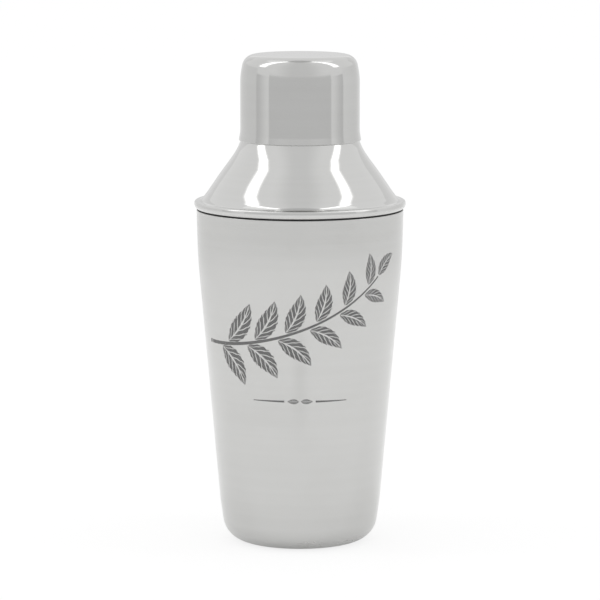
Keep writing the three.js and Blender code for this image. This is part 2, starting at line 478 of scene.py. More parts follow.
class EffectGroups:
    """Builds each shared effect once, as a shader node group."""

    GRAIN_TILT = 0.6
    GRAIN_DETAIL = 4.0
    GRAIN_RANGE = (0.3, 0.7)
    BAND_SCALE = 0.07
    BAND_DETAIL = 2.0
    SMUDGE_SCALE = 38.0
    SMUDGE_DETAIL = 3.0
    SMUDGE_RANGE = (0.48, 0.68)
    SCRATCH_STRETCH = (26.0, 26.0, 900.0)
    SCRATCH_TURN = (0.5, 0.35, 0.0)
    SCRATCH_LEVEL = 0.5
    SCRATCH_WIDTH = 0.006
    BREAK_SCALE = 160.0
    BREAK_DETAIL = 1.0
    BREAK_RANGE = (0.55, 0.7)
    WEAR_SCALE = 650.0
    WEAR_DETAIL = 3.0
    WEAR_LEVEL = 0.6
    WEAR_PULL = 0.55
    WEAR_RANGE = (0.0, 0.3)

    def __init__(self) -> None:
        """Builds the groups."""
        self.trees = {
            Effect.TURNED_GRAIN: self._turned_grain(),
            Effect.HANDLING: self._handling(),
            Effect.RIM_WEAR: self._rim_wear(),
        }

    def place(self, graph: Graph, effect: Effect, inputs: dict[str | int, Any]) -> bpy.types.Node:
        """Places an effect in a material, with values for its sockets, and returns the group node."""
        return graph.add("ShaderNodeGroup", inputs, node_tree=self.trees[effect])

    @staticmethod
    def _start(
        effect: Effect, inputs: dict[str, str], outputs: Sequence[str]
    ) -> tuple[Graph, bpy.types.Node]:
        """Starts a group.

        Args:
            effect: The effect that the group makes.
            inputs: Names and socket types of what goes in.
            outputs: Names of the values that come out.

        Returns:
            The graph of the group, and its input node.
        """
        tree = bpy.data.node_groups.new(effect.value, "ShaderNodeTree")
        for name, kind in inputs.items():
            tree.interface.new_socket(name, in_out="INPUT", socket_type=kind)
        for name in outputs:
            tree.interface.new_socket(name, in_out="OUTPUT", socket_type="NodeSocketFloat")
        graph = Graph(tree)
        return graph, graph.add("NodeGroupInput")

    def _turned_grain(self) -> bpy.types.ShaderNodeTree:
        """Fine lines round the axis, as polishing on a lathe leaves them.

        Returns:
            The group.
        """
        sockets = {"Vector": "NodeSocketVector", "Streak": "NodeSocketFloat", "Fineness": "NodeSocketFloat"}
        graph, start = self._start(Effect.TURNED_GRAIN, sockets, ["Grain", "Bands"])
        x, y, z = graph.parts(start.outputs["Vector"])
        radius = graph.math("SQRT", graph.math("MULTIPLY_ADD", y, y, graph.math("POWER", x, 2.0)))
        along = graph.math("MULTIPLY_ADD", radius, -self.GRAIN_TILT, z)
        across = [graph.math("MULTIPLY", part, start.outputs["Streak"]) for part in (x, y)]
        fine = graph.math("MULTIPLY", along, start.outputs["Fineness"])
        lines = graph.add("ShaderNodeCombineXYZ", {0: across[0], 1: across[1], 2: fine}).outputs[0]
        grain = graph.noise(lines, 1.0, self.GRAIN_DETAIL)
        bands = graph.noise(lines, self.BAND_SCALE, self.BAND_DETAIL)
        spread = [graph.ramp(value, self.GRAIN_RANGE) for value in (grain, bands)]
        graph.add("NodeGroupOutput", {"Grain": spread[0], "Bands": spread[1]})
        return graph.tree

    def _handling(self) -> bpy.types.ShaderNodeTree:
        """Soft smudges and hairline scratches, as use and wiping leave them.

        Returns:
            The group.
        """
        graph, start = self._start(Effect.HANDLING, {"Vector": "NodeSocketVector"}, ["Smudge", "Scratch"])
        place = start.outputs["Vector"]
        cloud = graph.noise(place, self.SMUDGE_SCALE, self.SMUDGE_DETAIL)
        smudge = graph.ramp(cloud, self.SMUDGE_RANGE)
        turned = graph.add(
            "ShaderNodeMapping",
            {"Vector": place, "Rotation": self.SCRATCH_TURN, "Scale": self.SCRATCH_STRETCH},
        )
        level = graph.noise(turned.outputs[0], 1.0, 0.0)
        distance = graph.math("ABSOLUTE", graph.math("SUBTRACT", level, self.SCRATCH_LEVEL))
        line = graph.ramp(distance, (0.0, self.SCRATCH_WIDTH), FALL)
        breaks = graph.ramp(graph.noise(place, self.BREAK_SCALE, self.BREAK_DETAIL), self.BREAK_RANGE)
        graph.add("NodeGroupOutput", {"Smudge": smudge, "Scratch": graph.math("MULTIPLY", line, breaks)})
        return graph.tree

    def _rim_wear(self) -> bpy.types.ShaderNodeTree:
        """Rubbed spots along the edges that carry an edge value.

        Returns:
            The group.
        """
        sockets = {"Vector": "NodeSocketVector", "Edge": "NodeSocketFloat"}
        graph, start = self._start(Effect.RIM_WEAR, sockets, ["Wear"])
        edge = start.outputs["Edge"]
        specks = graph.noise(start.outputs["Vector"], self.WEAR_SCALE, self.WEAR_DETAIL)
        above = graph.math("SUBTRACT", specks, self.WEAR_LEVEL)
        rubbed = graph.math("MULTIPLY_ADD", edge, self.WEAR_PULL, above)
        near = graph.ramp(rubbed, self.WEAR_RANGE)
        graph.add("NodeGroupOutput", {"Wear": graph.math("MULTIPLY", near, edge)})
        return graph.tree


@dataclass(frozen=True)
class SteelFinish:
    """Stainless steel, polished on a lathe outside and left as drawn inside.

    Attributes:
        name: Name of the material.
        colour: Colour of the clean metal.
        dull_colour: Colour in the grain's hollows and where hands dull it.
        roughness: Roughness in the smoothest and in the roughest lines of the grain.
        smudge: Roughness that smudges add.
        wear: Roughness that rubbed edges add.
        inside: Roughness that the drawn inside adds.
        fineness: Lines of the grain per metre, across them.
        streak: How fast the grain changes along its lines.
        grain_depth: Depth of the grain.
        scratch_depth: Depth of the hairline scratches.
        anisotropy: How far the grain draws reflections out.
        smudge_shade: How far a smudge dulls the colour.
        band_shade: How far the grain's bands dull the colour.
    """

    name: str
    colour: Colour
    dull_colour: Colour
    roughness: Pair
    smudge: float
    wear: float
    inside: float
    fineness: float
    streak: float
    grain_depth: float
    scratch_depth: float
    anisotropy: float
    smudge_shade: float = 0.4
    band_shade: float = 0.5

    def material(self, effects: EffectGroups) -> bpy.types.Material:
        """Builds the material.

        Args:
            effects: The shared surface effects.

        Returns:
            The material.
        """
        graph, material = Graph.of_material(self.name)
        place = graph.add("ShaderNodeTexCoord").outputs["Object"]
        inputs = {"Vector": place, "Streak": self.streak, "Fineness": self.fineness}
        grain = effects.place(graph, Effect.TURNED_GRAIN, inputs).outputs
        marks = effects.place(graph, Effect.HANDLING, {"Vector": place}).outputs
        edge = {"Vector": place, "Edge": graph.attribute("edge")}
        wear = effects.place(graph, Effect.RIM_WEAR, edge).outputs["Wear"]
        bands = graph.math("MULTIPLY", grain["Bands"], self.band_shade)
        shade = graph.math("MULTIPLY_ADD", marks["Smudge"], self.smudge_shade, bands)
        rough = graph.ramp(grain["Grain"], RISE, self.roughness)
        rough = graph.math("MULTIPLY_ADD", marks["Smudge"], self.smudge, rough)
        rough = graph.math("MULTIPLY_ADD", wear, self.wear, rough)
        rough = graph.math("MULTIPLY_ADD", graph.attribute("inside"), self.inside, rough)
        lines = graph.bump({"Strength": 1.0, "Distance": self.grain_depth, "Height": grain["Grain"]})
        scratch = {"Strength": 1.0, "Distance": self.scratch_depth, "Height": marks["Scratch"]}
        graph.principled(
            {
                "Base Color": graph.blend(shade, self.colour, self.dull_colour),
                "Metallic": 1.0,
                "Roughness": rough,
                "Anisotropic": self.anisotropy,
                "Normal": graph.bump({**scratch, "Normal": lines}, invert=True),
            }
        )
        return material


@dataclass(frozen=True)
class SiliconeAndCreviceShadeFinish:
    """Matt black silicone with a fine moulded texture and a little dust; its near-black is partly painted
    shade, standing in for the shade of the crevice between bead and rim.

    Attributes:
        name: Name of the material.
        colour: Colour of the clean rubber, near-black partly as painted shade of that crevice.
        dust_colour: Colour where dust clings.
        roughness: Roughness of the clean and of the dusty rubber.
        texture_scale: Fineness of the moulded texture.
        texture_detail: Octaves of the moulded texture.
        texture_depth: Depth of the moulded texture.
        texture_strength: Share of the texture's tilt that is used.
    """

    name: str = "black_silicone"
    # Near-black partly as painted shade: the ring's edge stands in for the shade of the crevice between
    # bead and rim.
    colour: Colour = (0.012, 0.012, 0.013, 1.0)
    dust_colour: Colour = (0.045, 0.044, 0.042, 1.0)
    roughness: Pair = (0.45, 0.7)
    texture_scale: float = 5200.0
    texture_detail: float = 2.0
    texture_depth: float = 0.02 * MM
    texture_strength: float = 0.5

    def material(self, effects: EffectGroups) -> bpy.types.Material:
        """Builds the material.

        Args:
            effects: The shared surface effects.

        Returns:
            The material.
        """
        graph, material = Graph.of_material(self.name)
        place = graph.add("ShaderNodeTexCoord").outputs["Object"]
        smudge = effects.place(graph, Effect.HANDLING, {"Vector": place}).outputs["Smudge"]
        texture = graph.noise(place, self.texture_scale, self.texture_detail)
        bump = {"Strength": self.texture_strength, "Distance": self.texture_depth, "Height": texture}
        graph.principled(
            {
                "Base Color": graph.blend(smudge, self.colour, self.dust_colour),
                "Roughness": graph.ramp(smudge, RISE, self.roughness),
                "Normal": graph.bump(bump),
            }
        )
        return material


@dataclass(frozen=True)
class EtchedFinish:
    """Steel darkened by a laser, in fine slanting lines that leave a leaf's veins bright.

    Attributes:
        name: Name of the material.
        dark: Colour of the etched lines.
        pale: Colour between the lines.
        steel: Colour of the veins, which stay bare.
        hatch_scale: Lines per metre.
        hatch_range: Where a line ends and the space between two lines begins.
        grain_scale: Fineness of the lines' unevenness.
        grain_detail: Octaves of the lines' unevenness.
        grain: How uneven the lines are.
        midrib: Half width of the middle vein, as a share of the leaf's.
        midrib_fade: Where the middle vein has faded out, in half widths.
        veins: Side veins along a leaf.
        vein_slant: How far the side veins lean to the tip.
        vein_width: Half width of a side vein, as a share of their spacing.
        vein_fade: Where a side vein has faded out, in half widths.
        roughness: Roughness of the bare veins and of the etched lines.
        metallic: Metallic share of the etched lines and of the veins.
    """

    name: str = "etched_steel"
    dark: Colour = (0.075, 0.075, 0.075, 1.0)
    pale: Colour = (0.24, 0.24, 0.237, 1.0)
    steel: Colour = (0.57, 0.57, 0.56, 1.0)
    hatch_scale: float = 1150.0
    hatch_range: Pair = (0.25, 0.6)
    grain_scale: float = 900.0
    grain_detail: float = 2.0
    grain: float = 0.35
    midrib: float = 0.07
    midrib_fade: float = 1.6
    veins: float = 6.0
    vein_slant: float = 0.3
    vein_width: float = 0.07
    vein_fade: float = 1.8
    roughness: Pair = (0.16, 0.5)
    metallic: Pair = (0.6, 1.0)

    @property
    def plain_spot(self) -> Pair:
        """A place on a leaf, along and across it, that no vein passes."""
        return 1 / (2 * self.veins), 1 / 4

    def material(self) -> bpy.types.Material:
        """Builds the material.

        Returns:
            The material.
        """
        graph, material = Graph.of_material(self.name)
        wall = graph.add("ShaderNodeUVMap", uv_map="wall").outputs[0]
        leaf = graph.parts(graph.add("ShaderNodeUVMap", uv_map="leaf").outputs[0])
        scale = (self.hatch_scale,) * 3
        spread = graph.add("ShaderNodeVectorMath", {0: wall, 1: scale}, operation="MULTIPLY")
        slant = graph.parts(spread.outputs[0])
        phase = graph.math("PINGPONG", graph.math("ADD", slant[0], slant[1]), 0.5)
        grain = graph.noise(wall, self.grain_scale, self.grain_detail)
        hatch = graph.ramp(graph.math("MULTIPLY_ADD", grain, self.grain, phase), self.hatch_range)
        side = graph.math("ABSOLUTE", graph.math("MULTIPLY_ADD", leaf[1], 2.0, -1.0))
        rib = graph.ramp(side, (self.midrib, self.midrib * self.midrib_fade), FALL)
        along = graph.math("MULTIPLY_ADD", side, -self.vein_slant, leaf[0])
        beat = graph.math("PINGPONG", graph.math("MULTIPLY", along, self.veins), 0.5)
        vein = graph.ramp(beat, (self.vein_width, self.vein_width * self.vein_fade), FALL)
        bare = graph.math("MAXIMUM", rib, vein)
        graph.principled(
            {
                "Base Color": graph.blend(bare, graph.blend(hatch, self.dark, self.pale), self.steel),
                "Metallic": graph.ramp(bare, RISE, self.metallic),
                "Roughness": graph.ramp(bare, FALL, self.roughness),
            }
        )
        return material


@dataclass(frozen=True)
class Ride:
    """Where a piece belongs.

    Attributes:
        body: CAD body that it moves with.
        slot: Material slot of the record that it belongs to; not used.
        node: CAD node that it stands for, if any.
    """

    body: str
    slot: str
    node: str | None = None


def linked_object(name: str, mesh: bmesh.types.BMesh) -> bpy.types.Object:
    """Makes an object of a finished mesh and links it to the scene.

    Args:
        name: Name of the object.
        mesh: The mesh, which is freed.

    Returns:
        The object.
    """
    data = bpy.data.meshes.new(name)
    mesh.to_mesh(data)
    mesh.free()
    made = bpy.data.objects.new(name, data)
    bpy.context.scene.collection.objects.link(made)
    return made


def place_piece(name: str, mesh: bmesh.types.BMesh, ride: Ride) -> bpy.types.Object:
    """Makes a piece of a finished mesh and hangs it on its body.

    Args:
        name: Name of the piece.
        mesh: The mesh, which is freed.
        ride: Where the piece belongs.

    Returns:
        The piece.
    """
    piece = linked_object(name, mesh)
    piece.data.shade_smooth()
    piece.data.set_sharp_from_angle(angle=SHARP_ANGLE)
    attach(piece, ride.body)
    if ride.node:
        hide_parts(ride.node)
    return piece


class TurnedPiece(ABC):
    """A piece that is turned about the axis.

    Attributes:
        name: Name of the piece.
        ride: Where it belongs.
        zero: Height of its own zero in the frame.
        finish: What it is made of and how it is finished.
    """

    name: ClassVar[str]
    ride: ClassVar[Ride]
    zero: float
    finish: SteelFinish | SiliconeAndCreviceShadeFinish

    @abstractmethod
    def section(self) -> HalfSection:
        """The closed half section, above the piece's own zero."""

    def build(self) -> bpy.types.Object:
        """Turns the piece and returns it."""
        return place_piece(self.name, self.section().drawn(self.zero).turned(), self.ride)

    def dress(self, piece: bpy.types.Object, effects: EffectGroups) -> None:
        """Gives the piece its finish."""
        piece.data.materials.clear()
        piece.data.materials.append(self.finish.material(effects))


@dataclass
class Tumbler(TurnedPiece):
    """The drawn cup: a rounded foot, a tapered wall and a nearly straight mouth."""

    name: ClassVar[str] = "tumbler_cup"
    ride: ClassVar[Ride] = Ride("tumbler_body", "satin_steel", "tumbler")
    zero: float = 0.0
    height: float = field(default_factory=lambda: top_of("tumbler"))
    sheet: float = 0.7 * MM
    mouth_radius: float = 36.75 * MM
    mouth_depth: float = 17 * MM
    mouth_draft: float = math.radians(1.4)
    mouth_bend: float = 200 * MM
    wall_taper: float = math.radians(5.06)
    ease_height: float = 14.2 * MM
    ease_lean: float = math.radians(8.5)
    ease_round: float = 40 * MM
    foot_round: float = 8.8 * MM
    floor_rise: float = 1.2 * MM
    panel_radius: float = 13.3 * MM
    panel_round: float = 1.6 * MM
    rim_wear: float = 0.8
    foot_wear: float = 0.7
    finish: SteelFinish = SteelFinish(
        name="satin_steel",
        colour=(0.588, 0.588, 0.578, 1.0),
        dull_colour=(0.562, 0.561, 0.55, 1.0),
        roughness=(0.1, 0.16),
        smudge=0.03,
        wear=0.16,
        inside=0.2,
        fineness=4200.0,
        streak=22.0,
        grain_depth=0.0006 * MM,
        scratch_depth=0.002 * MM,
        anisotropy=0.45,
    )

    def section(self) -> HalfSection:
        """The sheet, drawn along its outside from the raised panel under the floor to the rim.

        Returns:
            The closed half section.
        """
        bend_height = self.height - self.mouth_depth
        bend_radius = self.mouth_radius - self.mouth_depth * math.tan(self.mouth_draft)
        ease_radius = bend_radius - (bend_height - self.ease_height) * math.tan(self.wall_taper)
        foot_radius = ease_radius - self.ease_height * math.tan(self.ease_lean)
        ring_radius = self.panel_radius + self.floor_rise
        outside = HalfSection(
            [
                Corner(0.0, self.floor_rise),
                Corner(self.panel_radius, self.floor_rise, self.panel_round),
                Corner(ring_radius, 0.0, self.panel_round, self.foot_wear),
                Corner(foot_radius, 0.0, self.foot_round, self.foot_wear),
                Corner(ease_radius, self.ease_height, self.ease_round),
                Corner(bend_radius, bend_height, self.mouth_bend),
                Corner(self.mouth_radius, self.height),
            ]
        )
        return outside.sheet(self.sheet, self.rim_wear)


@dataclass
class StrainerTop(TurnedPiece):
    """One sheet from the pierced strainer over neck, shoulder and bead to the plug in the mouth."""

    name: ClassVar[str] = "strainer_shoulder"
    ride: ClassVar[Ride] = Ride("strainer_body", "polished_steel", "strainer_top")
    zero: float = field(default_factory=lambda: top_of("mouth_seal"))
    neck_top: float = field(default_factory=lambda: top_of("strainer_top"))
    plug_end: float = field(default_factory=lambda: bottom_of("strainer_top"))
    sheet: float = 0.55 * MM
    shoulder_height: float = 24.9 * MM
    slope_bends: tuple[Bend, ...] = (
        Bend(0.214, 0.496 * MM, 25 * MM),
        Bend(0.326, 0.541 * MM, 70 * MM),
        Bend(0.528, 0.354 * MM, 130 * MM),
        Bend(0.845, 0.485 * MM, 40 * MM),
        Bend(0.949, 0.36 * MM, 6 * MM),
    )
    foot_radius: float = 35.55 * MM
    foot_round: float = 2.2 * MM
    bead_radius: float = 37.5 * MM
    bead_height: float = 3.1 * MM
    bead_top_round: float = 0.75 * MM
    bead_under_round: float = 1.85 * MM
    plug_radius: float = 34.855 * MM
    plug_draft: float = math.radians(1.4)
    plug_root_round: float = 0.4 * MM
    plug_lead: float = 2.5 * MM
    plug_lead_inset: float = 1 * MM
    plug_lead_round: float = 4 * MM
    neck_radius: float = 20.3 * MM
    neck_round: float = 16.8 * MM
    strainer_radius: float = 15.9 * MM
    strainer_dish: float = 1.2 * MM
    strainer_round: float = 1.2 * MM
    strainer_edge_round: float = 2.2 * MM
    hole_radius: float = 1.8 * MM
    hole_pitch: float = 5.4 * MM
    hole_chamfer: float = 0.12 * MM
    hole_overrun: float = 0.3 * MM
    hole_rings: int = 2
    holes_per_ring_step: int = 6
    hole_steps: int = 32
    edge_wear: float = 0.6
    finish: SteelFinish = SteelFinish(
        name="polished_steel",
        colour=(0.605, 0.605, 0.597, 1.0),
        dull_colour=(0.585, 0.584, 0.574, 1.0),
        roughness=(0.045, 0.07),
        smudge=0.02,
        wear=0.14,
        inside=0.22,
        fineness=5200.0,
        streak=18.0,
        grain_depth=0.0002 * MM,
        scratch_depth=0.0012 * MM,
        anisotropy=0.25,
    )

    def section(self) -> HalfSection:
        """The sheet, drawn along its outside from the middle of the strainer to the end of the plug.

        Returns:
            The closed half section.
        """
        top = self.neck_top - self.zero
        floor = top - self.strainer_dish
        end = self.plug_end - self.zero
        lead = self.plug_radius + (end + self.plug_lead) * math.tan(self.plug_draft)
        neck_foot = Corner(self.neck_radius, self.shoulder_height, self.neck_round)
        foot = Corner(self.foot_radius, self.bead_height, self.foot_round)
        outside = HalfSection(
            [
                Corner(0.0, floor),
                Corner(self.strainer_radius - self.strainer_dish, floor, self.strainer_round),
                Corner(self.strainer_radius, top, self.strainer_round),
                Corner(self.neck_radius, top, self.strainer_edge_round, self.edge_wear),
                neck_foot,
                *(neck_foot.bent(foot, bend) for bend in self.slope_bends),
                foot,
                Corner(self.bead_radius, self.bead_height, self.bead_top_round, self.edge_wear),
                Corner(self.bead_radius, 0.0, self.bead_under_round, self.edge_wear),
                Corner(self.plug_radius, 0.0, self.plug_root_round),
                Corner(lead, end + self.plug_lead, self.plug_lead_round),
                Corner(lead - self.plug_lead_inset, end),
            ]
        )
        return outside.sheet(-self.sheet, self.edge_wear)

    def drills(self) -> bpy.types.Object:
        """Makes the tool that pierces the strainer: a drill for each hole, flared where it breaks an edge.

        Returns:
            The tool, which the strainer is cut with.
        """
        top = self.neck_top - self.strainer_dish
        under = top - self.sheet
        flare = self.hole_radius + self.hole_chamfer + self.hole_overrun
        section = HalfSection(
            [
                Corner(0.0, under - self.hole_overrun),
                Corner(flare, under - self.hole_overrun),
                Corner(self.hole_radius, under + self.hole_chamfer),
                Corner(self.hole_radius, top - self.hole_chamfer),
                Corner(flare, top + self.hole_overrun),
                Corner(0.0, top + self.hole_overrun),
            ]
        )
        mesh = section.drawn().turned(self.hole_steps)
        first = [*mesh.verts, *mesh.edges, *mesh.faces]
        for ring in range(1, self.hole_rings + 1):
            count = ring * self.holes_per_ring_step
            for at in range(count):
                angle = math.tau * at / count
                copied = bmesh.ops.duplicate(mesh, geom=first)["geom"]
                corners = [item for item in copied if isinstance(item, bmesh.types.BMVert)]
                away = Vector((math.cos(angle), math.sin(angle), 0.0)) * (ring * self.hole_pitch)
                bmesh.ops.translate(mesh, verts=corners, vec=away)
        return linked_object("strainer_drills", mesh)

    def build(self) -> bpy.types.Object:
        """Turns the top and pierces its strainer.

        Returns:
            The piece.
        """
        piece = super().build()
        tool = self.drills()
        cut = piece.modifiers.new("strainer_holes", "BOOLEAN")
        cut.operation = "DIFFERENCE"
        cut.solver = "EXACT"
        cut.object = tool
        bpy.context.view_layer.update()
        drilled = piece.evaluated_get(bpy.context.evaluated_depsgraph_get())
        pierced = bpy.data.meshes.new_from_object(drilled)
        piece.modifiers.clear()
        piece.data = pierced
        bpy.data.objects.remove(tool)
        mesh = bmesh.new()
        mesh.from_mesh(pierced)
        bmesh.ops.remove_doubles(mesh, verts=mesh.verts[:], dist=MERGE_DISTANCE)
        bmesh.ops.dissolve_degenerate(mesh, edges=mesh.edges[:], dist=MERGE_DISTANCE)
        mesh.to_mesh(pierced)
        mesh.free()
        pierced.set_sharp_from_angle(angle=SHARP_ANGLE)
        return piece


@dataclass
class MouthSeal(TurnedPiece):
    """The soft ring: a sleeve inside the mouth with a flange that lies on the rim; the flange's near-black
    edge between bead and rim is partly painted shade of that crevice.
    """

    name: ClassVar[str] = "mouth_ring"
    ride: ClassVar[Ride] = Ride("strainer_body", "black_silicone", "mouth_seal")
    zero: float = field(default_factory=lambda: top_of("mouth_seal"))
    foot: float = field(default_factory=lambda: bottom_of("mouth_seal"))
    flange: float = 0.2 * MM
    flange_radius: float = 36.6 * MM
    sleeve: float = 0.6 * MM
    mouth_inside: float = 36.05 * MM
    clearance: float = 0.3 * MM
    draft: float = math.radians(1.4)
    foot_round: float = 0.3 * MM
    edge_round: float = 0.08 * MM
    root_round: float = 0.4 * MM
    # Its near-black is partly painted shade of the crevice between bead and rim.
    finish: SiliconeAndCreviceShadeFinish = SiliconeAndCreviceShadeFinish()

    def section(self) -> HalfSection:
        """The ring, drawn from the foot of its sleeve up the outside and round the flange.

        Returns:
            The closed half section.
        """
        slope = math.tan(self.draft)
        depth = self.foot - self.zero
        outside = self.mouth_inside - self.clearance
        at_foot = outside + (depth + self.flange) * slope
        at_top = outside + self.flange * slope
        ring = HalfSection(
            [
                Corner(at_foot - self.sleeve, depth, self.edge_round),
                Corner(at_foot, depth, self.foot_round),
                Corner(outside, -self.flange),
                Corner(self.flange_radius, -self.flange, self.edge_round),
                Corner(self.flange_radius, 0.0, self.edge_round),
                Corner(at_top - self.sleeve, 0.0, self.root_round),
            ]
        )
        return ring.looped()


@dataclass
class Cap(TurnedPiece):
    """The drawn cap: a flat crown with a full round edge, and a lip that flares over the shoulder."""

    name: ClassVar[str] = "cap_shell"
    ride: ClassVar[Ride] = Ride("cap_body", "cap_steel", "cap")
    zero: float = field(default_factory=lambda: bottom_of("cap"))
    crown: float = field(default_factory=lambda: top_of("cap"))
    sheet: float = 0.5 * MM
    radius: float = 21.15 * MM
    edge_round: float = 4.6 * MM
    ease_height: float = 7.4 * MM
    ease_lean: float = math.radians(11)
    ease_round: float = 26 * MM
    lip_height: float = 3.25 * MM
    lip_flare: float = 0.52 * MM
    lip_round: float = 14 * MM
    edge_wear: float = 0.45
    finish: SteelFinish = SteelFinish(
        name="cap_steel",
        colour=(0.58, 0.58, 0.572, 1.0),
        dull_colour=(0.556, 0.555, 0.546, 1.0),
        roughness=(0.06, 0.095),
        smudge=0.025,
        wear=0.14,
        inside=0.22,
        fineness=4800.0,
        streak=24.0,
        grain_depth=0.0003 * MM,
        scratch_depth=0.0015 * MM,
        anisotropy=0.3,
    )

    def section(self) -> HalfSection:
        """The sheet, drawn along its outside from the middle of the crown to the lip.

        Returns:
            The closed half section.
        """
        height = self.crown - self.zero
        shoulder = self.radius - self.ease_height * math.tan(self.ease_lean)
        outside = HalfSection(
            [
                Corner(0.0, height),
                Corner(shoulder, height, self.edge_round, self.edge_wear),
                Corner(self.radius, height - self.ease_height, self.ease_round),
                Corner(self.radius, self.lip_height, self.lip_round),
                Corner(self.radius + self.lip_flare, 0.0),
            ]
        )
        return outside.sheet(-self.sheet, self.edge_wear)


class BladeKind(Enum):
    """The strokes that the etched sprig is drawn with."""

    LEAF = "leaf"
    STEM = "stem"


@dataclass(frozen=True)
class Blade:
    """One stroke on the unrolled wall, along a bent middle line.

    Attributes:
        kind: Leaf or stem.
        start: Where the stroke starts, across and up.
        end: Where it ends.
        bow: How far its middle bends to the left.
        width: Its full width.
    """

    kind: BladeKind
    start: Pair
    end: Pair
    bow: float
    width: float

    def along(self, share: float) -> tuple[Vector, Vector]:
        """A point of the bent middle line.

        Args:
            share: How far along the line, from 0 to 1.

        Returns:
            The point, and the line's direction there.
        """
        start, end = Vector(self.start), Vector(self.end)
        run = end - start
        bend = left_of(run.normalized()) * (4 * self.bow)
        point = start + run * share + bend * (share * (1 - share))
        return point, (run + bend * (1 - 2 * share)).normalized()


@dataclass
class EtchedSprig:
    """A sprig of leaves that a laser has drawn on the front of the tumbler, over a short rule."""

    middle: float = 87 * MM
    stem_start: Pair = (-40 * MM, -13 * MM)
    stem_end: Pair = (31 * MM, 11 * MM)
    stem_bow: float = -7 * MM
    stem_width: float = 1.3 * MM
    stem_taper: float = 0.6
    leaf_pairs: int = 6
    pair_span: Pair = (0.12, 0.9)
    pair_offset: float = 0.045
    leaf_length: Pair = (17 * MM, 11 * MM)
    leaf_width: float = 0.46
    leaf_angle: float = math.radians(52)
    leaf_bow: float = 0.09
    leaf_lean: float = 0.8
    leaf_fullness: float = 0.85
    teeth: int = 7
    tooth_depth: float = 0.16
    steps_per_tooth: int = 4
    steps_across: int = 8
    rule_height: float = 55 * MM
    rule_half: Pair = (5.5 * MM, 17 * MM)
    rule_width: float = 0.7 * MM
    bud_gap: float = 0.4 * MM
    bud_inset: float = 1.4 * MM
    lift: float = 0.03 * MM
    depth: float = 0.05 * MM
    reach: float = 80 * MM
    finish: EtchedFinish = EtchedFinish()

    @property
    def stem(self) -> Blade:
        """The stroke of the stem."""
        return Blade(BladeKind.STEM, self.stem_start, self.stem_end, self.stem_bow, self.stem_width)

    def leaf(self, root: Vector, heading: Vector, length: float, bend: int) -> Blade:
        """One leaf.

        Args:
            root: Where it grows from.
            heading: Where it points to.
            length: Its length.
            bend: Which way it bends, 1 to the left and -1 to the right.

        Returns:
            The stroke.
        """
        end = root + heading * length
        bow = bend * self.leaf_bow * length
        return Blade(BladeKind.LEAF, tuple(root), tuple(end), bow, self.leaf_width * length)

    def blades(self) -> list[Blade]:
        """The strokes of the sprig and of the rule under it.

        Returns:
            The strokes, around the middle of the sprig.
        """
        strokes = [self.stem]
        for pair in range(self.leaf_pairs):
            grown = pair / (self.leaf_pairs - 1)
            length = between(self.leaf_length, grown)
            for side in (1, -1):
                share = between(self.pair_span, grown) + side * self.pair_offset / 2
                root, heading = self.stem.along(share)
                out = Matrix.Rotation(side * self.leaf_angle, 2) @ heading
                strokes.append(self.leaf(root + out * self.stem_width, out, length, -side))
        tip, heading = self.stem.along(1.0)
        strokes.append(self.leaf(tip + heading * (self.stem_width / 2), heading, self.leaf_length[1], 1))
        drop = self.rule_height - self.middle
        near, far = self.rule_half
        for side in (1, -1):
            ends = ((side * near, drop), (side * far, drop))
            strokes.append(Blade(BladeKind.STEM, *ends, 0.0, self.rule_width))
            root = Vector((side * self.bud_gap, drop))
            strokes.append(self.leaf(root, Vector((side, 0.0)), near - self.bud_inset, 0))
        return strokes

    def half_width(self, blade: Blade, share: float) -> float:
        """Half the width of a stroke.

        Args:
            blade: The stroke.
            share: How far along it, from 0 to 1.

        Returns:
            The half width there, with a leaf's teeth.
        """
        if blade.kind is BladeKind.STEM:
            return blade.width / 2 * (1 - self.stem_taper * share)
        belly = math.sin(math.pi * share**self.leaf_lean) ** self.leaf_fullness
        tooth = 1 - self.tooth_depth * ((share * self.teeth) % 1.0)
        return blade.width / 2 * max(belly, 0.0) * tooth

    def draw(self, mesh: bmesh.types.BMesh, blade: Blade, wall: BVHTree) -> None:
        """Draws a stroke and lays it on the wall.

        Args:
            mesh: Mesh that the stroke goes into.
            blade: The stroke.
            wall: The tumbler's surface.
        """
        steps = self.teeth * self.steps_per_tooth
        made = bmesh.ops.create_grid(mesh, x_segments=steps, y_segments=self.steps_across, size=1.0)
        leaf_map = mesh.loops.layers.uv["leaf"]
        wall_map = mesh.loops.layers.uv["wall"]
        for corner in made["verts"]:
            share, side = (corner.co.x + 1) / 2, corner.co.y
            point, heading = blade.along(share)
            flat = point + left_of(heading) * (side * self.half_width(blade, share))
            veined = (share, (side + 1) / 2) if blade.kind is BladeKind.LEAF else self.finish.plain_spot
            for loop in corner.link_loops:
                loop[leaf_map].uv = veined
                loop[wall_map].uv = flat
            corner.co = self.on_wall(flat, wall)

    def on_wall(self, flat: Vector, wall: BVHTree) -> Vector:
        """Rolls a point of the flat drawing onto the wall.

        Args:
            flat: The point, across and up from the middle of the sprig.
            wall: The tumbler's surface.

        Returns:
            The point just proud of the wall.
        """
        level = Vector((0.0, 0.0, self.middle + flat.y))
        forward = Vector(FORWARD)
        front = wall.ray_cast(level + forward * self.reach, -forward)[0]
        angle = flat.x / -front.y
        out = Vector((math.sin(angle), -math.cos(angle), 0.0))
        touch = wall.ray_cast(level + out * self.reach, -out)[0]
        return touch + out * self.lift

